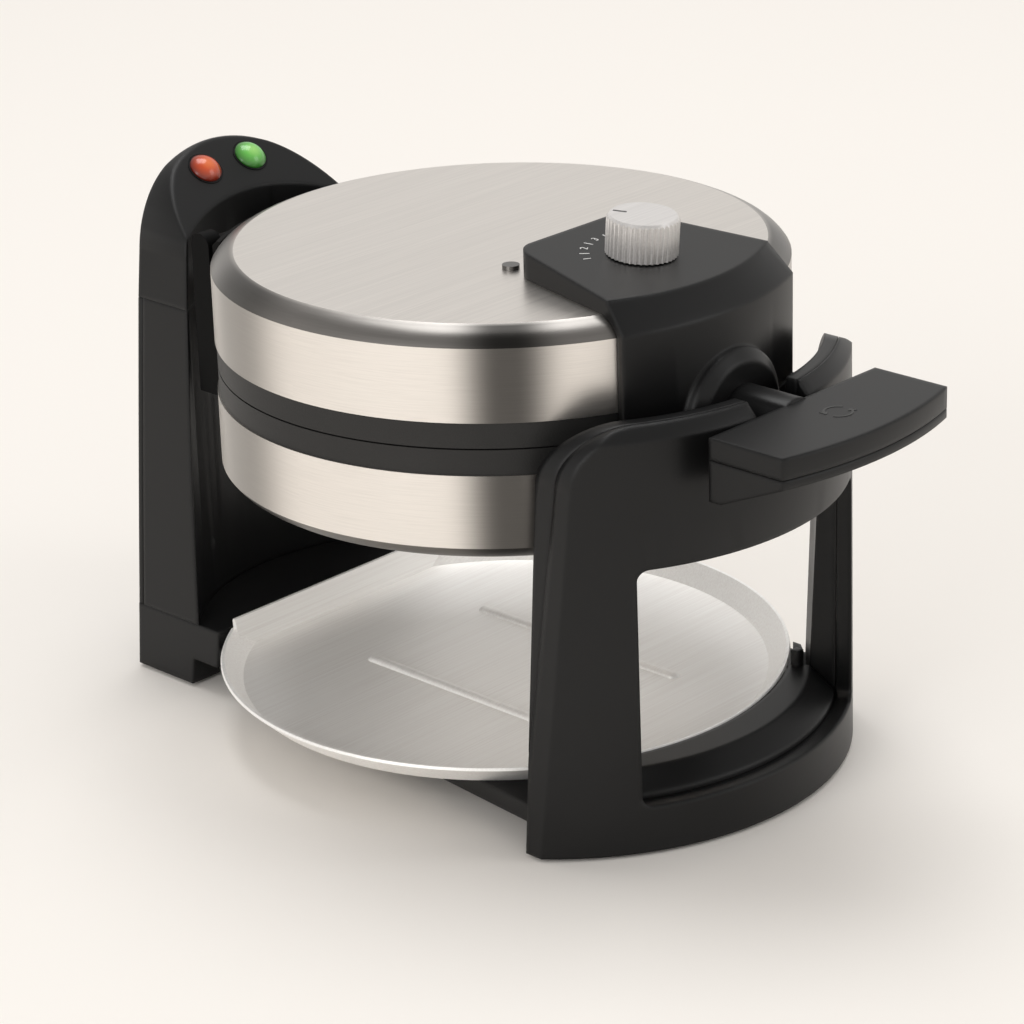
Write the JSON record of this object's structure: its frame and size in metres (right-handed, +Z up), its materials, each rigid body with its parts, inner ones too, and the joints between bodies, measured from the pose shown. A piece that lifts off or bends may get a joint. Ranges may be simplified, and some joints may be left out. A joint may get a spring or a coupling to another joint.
{
  "type": "rotary waffle maker",
  "caption": "Round steel flip waffle maker hung between a front arch and a rear tower, with a hinged lid, dial, paddle handle and drip tray.",
  "frame": {"origin": "middle of the overall box on the floor under the feet", "axes": "+Z up, -Y to the handle and front, +Y to the tower, +X to the right seen from the front"},
  "size_m": [0.222, 0.343, 0.2174],
  "materials": {
    "black_plastic": "satin moulded",
    "brushed_shell": "brushed round the wall",
    "black_rim": "fine speckle",
    "tray_steel": "satin",
    "nonstick_plate": "non-stick coat",
    "plain_steel": "plain",
    "heater_tube": "oxidised",
    "reflector_sheet": "bright sheet",
    "red_lens": "clear tinted",
    "green_lens": "clear tinted",
    "lamp_glass": "clear",
    "board": "laminate",
    "bearing": "plain",
    "foot_rubber": "plain",
    "wire_sleeve": "woven",
    "silver_knob": "satin silver"
  },
  "bodies": {
    "stand": {"base": "black_plastic", "bottom_cover": "black_plastic", "front_arch": "black_plastic", "arch_liner": "black_plastic", "tower_shell": "black_plastic", "tower_rear_cover": "black_plastic", "tower_cap": "black_plastic", "power_lens": "red_lens", "ready_lens": "green_lens", "indicator_lamps": "lamp_glass", "lamp_board": "board", "rear_bush": "bearing", "terminal_block": "black_plastic", "cord_gland": "black_plastic", "rubber_feet": "foot_rubber", "base_screws": "plain_steel", "rear_cover_screws": "plain_steel", "arch_screws": "plain_steel"},
    "lower_half": {"lower_shell": "brushed_shell", "lower_rim": "black_rim", "lower_plate": "nonstick_plate", "lower_heater": "heater_tube", "lower_reflector": "reflector_sheet", "lower_shell_screws": "plain_steel", "lower_front_shroud": "black_plastic", "lower_handle": "black_plastic", "lower_handle_screw": "plain_steel", "hinge_bracket": "black_plastic", "rear_axle": "plain_steel", "axle_clip": "plain_steel", "axle_wires": "wire_sleeve", "thermal_fuse": "plain_steel"},
    "hinge": {"hinge_pins": "plain_steel"},
    "upper_half": {"upper_shell": "brushed_shell", "upper_rim": "black_rim", "upper_plate": "nonstick_plate", "upper_heater": "heater_tube", "upper_reflector": "reflector_sheet", "lid_screws": "plain_steel", "control_housing": "black_plastic", "hinge_cover": "black_plastic", "upper_handle": "black_plastic", "upper_handle_screw": "plain_steel", "thermostat": "black_plastic"},
    "dial": {"dial_knob": "silver_knob", "dial_shaft": "plain_steel"},
    "tray": {"drip_tray": "tray_steel"}
  },
  "joints": [
    {"name": "flip", "type": "hinge", "parent": "stand", "child": "lower_half", "pos_m": [0, 0.0074, 0.1505], "axis": [0, 1, 0], "range_deg": [0, 180]},
    {"name": "hinge_float", "type": "slide", "parent": "lower_half", "child": "hinge", "axis": [0, 0, -1], "range_m": [-0.004, 0]},
    {"name": "lid", "type": "hinge", "parent": "hinge", "child": "upper_half", "pos_m": [0, 0.1209, 0.1765], "axis": [1, 0, 0], "range_deg": [-97, 0]},
    {"name": "dial_turn", "type": "hinge", "parent": "upper_half", "child": "dial", "pos_m": [0, -0.0626, 0.2015], "axis": [0, -0.0802, 0.9968], "range_deg": [-135, 135]},
    {"name": "tray_lift", "type": "slide", "parent": "stand", "child": "tray", "axis": [0, 0, -1], "range_m": [-0.02, 0]}
  ]
}
